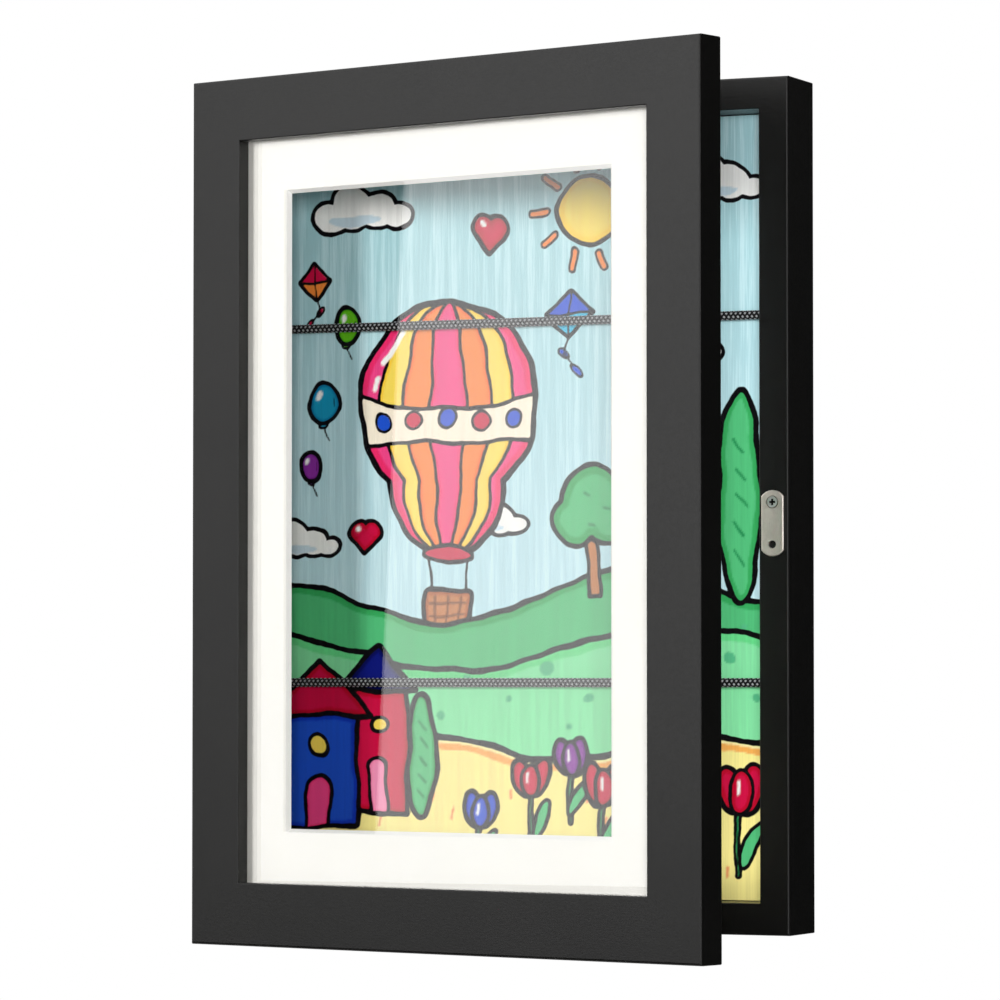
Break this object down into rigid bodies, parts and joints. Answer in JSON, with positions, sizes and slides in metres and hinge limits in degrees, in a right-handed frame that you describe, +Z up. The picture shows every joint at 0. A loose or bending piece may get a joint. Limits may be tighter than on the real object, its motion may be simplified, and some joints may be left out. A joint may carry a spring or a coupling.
{
  "type": "front-opening picture frame",
  "caption": "Wall frame for children's drawings: a glazed, matted door hinged to a shallow case in which elastic cords hold the sheets, with a magnetic catch.",
  "frame": {"origin": "the middle notch of the top sawtooth hanger, in the plane of the wall", "axes": "+X to the right seen from the front, +Y back towards the wall, +Z up"},
  "size_m": [0.2453, 0.1045, 0.339],
  "materials": {
    "satin_black": "satin black paint on wood",
    "mat_board": "matt, ivory white",
    "glazing": "clear",
    "drawing": "felt-tip drawing on matt paper",
    "stored_paper": "matt",
    "elastic_cord": "braided, with a fine pale fleck",
    "brushed_steel": "brushed along its length",
    "zinc_plate": "zinc plated, dull",
    "nickel": "nickel plated",
    "hardboard": "raw hardboard",
    "rubber": "matt black"
  },
  "bodies": {
    "case": {"case_top_rail": "satin_black", "case_bottom_rail": "satin_black", "case_hinge_stile": "satin_black", "case_latch_stile": "satin_black", "back_panel": "hardboard", "panel_point_1": "zinc_plate", "panel_point_2": "zinc_plate", "panel_point_3": "zinc_plate", "panel_point_4": "zinc_plate", "panel_point_5": "zinc_plate", "panel_point_6": "zinc_plate", "stored_drawings": "stored_paper", "artwork": "drawing", "upper_cord": "elastic_cord", "lower_cord": "elastic_cord", "strike_plate": "brushed_steel", "strike_screw": "zinc_plate", "upper_hinge_pin": "zinc_plate", "upper_hinge_case_leaf": "zinc_plate", "upper_hinge_case_screw_1": "zinc_plate", "upper_hinge_case_screw_2": "zinc_plate", "lower_hinge_pin": "zinc_plate", "lower_hinge_case_leaf": "zinc_plate", "lower_hinge_case_screw_1": "zinc_plate", "lower_hinge_case_screw_2": "zinc_plate", "top_hanger": "zinc_plate", "top_hanger_nail_1": "zinc_plate", "top_hanger_nail_2": "zinc_plate", "side_hanger": "zinc_plate", "side_hanger_nail_1": "zinc_plate", "side_hanger_nail_2": "zinc_plate", "wall_pad_1": "rubber", "wall_pad_2": "rubber", "wall_pad_3": "rubber", "wall_pad_4": "rubber"},
    "door": {"door_top_rail": "satin_black", "door_bottom_rail": "satin_black", "door_hinge_stile": "satin_black", "door_latch_stile": "satin_black", "glazing": "glazing", "mat_board": "mat_board", "mat_point_1": "zinc_plate", "mat_point_2": "zinc_plate", "mat_point_3": "zinc_plate", "mat_point_4": "zinc_plate", "mat_point_5": "zinc_plate", "mat_point_6": "zinc_plate", "mat_point_7": "zinc_plate", "mat_point_8": "zinc_plate", "latch_magnet": "nickel", "upper_hinge_door_leaf": "zinc_plate", "upper_hinge_door_screw_1": "zinc_plate", "upper_hinge_door_screw_2": "zinc_plate", "lower_hinge_door_leaf": "zinc_plate", "lower_hinge_door_screw_1": "zinc_plate", "lower_hinge_door_screw_2": "zinc_plate"}
  },
  "joints": [
    {"name": "door_hinge", "type": "hinge", "parent": "case", "child": "door", "pos_m": [-0.1235, -0.03095, -0.155], "axis": [0, 0, -1], "range_deg": [-14, 166]}
  ]
}
